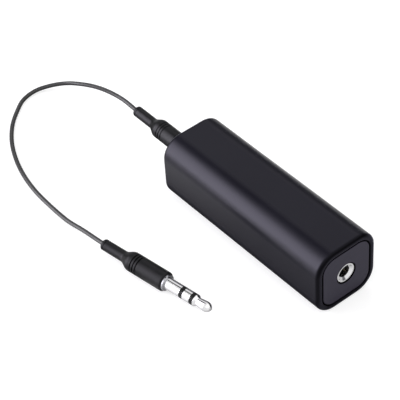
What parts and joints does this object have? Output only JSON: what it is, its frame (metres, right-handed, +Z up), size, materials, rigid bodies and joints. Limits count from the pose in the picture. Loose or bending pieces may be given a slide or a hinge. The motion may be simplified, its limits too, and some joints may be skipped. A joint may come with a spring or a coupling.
{
  "type": "ground loop isolator",
  "caption": "Stereo ground loop isolator in a rounded square case, with a 3.5 mm jack in each end, coupling transformers inside and a patch cord plugged into the rear jack.",
  "frame": {"origin": "under the middle of the case, on the surface that it stands on", "axes": "+X out of the free front jack, +Z up"},
  "size_m": [0.13, 0.0493, 0.021],
  "materials": {
    "case_plastic": "smooth satin black",
    "cap_plastic": "smooth satin black",
    "nickel": "bright nickel plate",
    "jack_plastic": "moulded black",
    "contact_brass": "stamped strip",
    "board_laminate": "green solder mask",
    "solder": "bright tin solder",
    "core_steel": "varnished lamination stack",
    "bobbin_plastic": "moulded ivory",
    "copper_wire": "enamelled copper wire",
    "winding_tape": "yellow polyester tape",
    "tinned_pin": "tinned",
    "cord_rubber": "smooth black jacket",
    "boot_rubber": "smooth black moulding",
    "insulator_plastic": "moulded black"
  },
  "bodies": {
    "root": {"case_sleeve": "case_plastic", "front_cap": "cap_plastic", "rear_cap": "cap_plastic", "front_bushing": "nickel", "rear_bushing": "nickel", "front_jack_body": "jack_plastic", "rear_jack_body": "jack_plastic", "front_tip_contact": "contact_brass", "rear_tip_contact": "contact_brass", "front_ring_contact": "contact_brass", "rear_ring_contact": "contact_brass", "front_ground_contact": "contact_brass", "rear_ground_contact": "contact_brass", "circuit_board": "board_laminate", "solder_joints": "solder", "left_core": "core_steel", "right_core": "core_steel", "left_bobbin": "bobbin_plastic", "right_bobbin": "bobbin_plastic", "left_primary": "copper_wire", "right_primary": "copper_wire", "left_secondary": "copper_wire", "right_secondary": "copper_wire", "left_tape": "winding_tape", "right_tape": "winding_tape", "left_pins": "tinned_pin", "right_pins": "tinned_pin", "cord": "cord_rubber", "box_plug_boot": "boot_rubber", "free_plug_boot": "boot_rubber", "box_plug_sleeve": "nickel", "free_plug_sleeve": "nickel", "box_plug_ring": "nickel", "free_plug_ring": "nickel", "box_plug_tip": "nickel", "free_plug_tip": "nickel", "box_plug_insulators": "insulator_plastic", "free_plug_insulators": "insulator_plastic"}
  },
  "joints": []
}
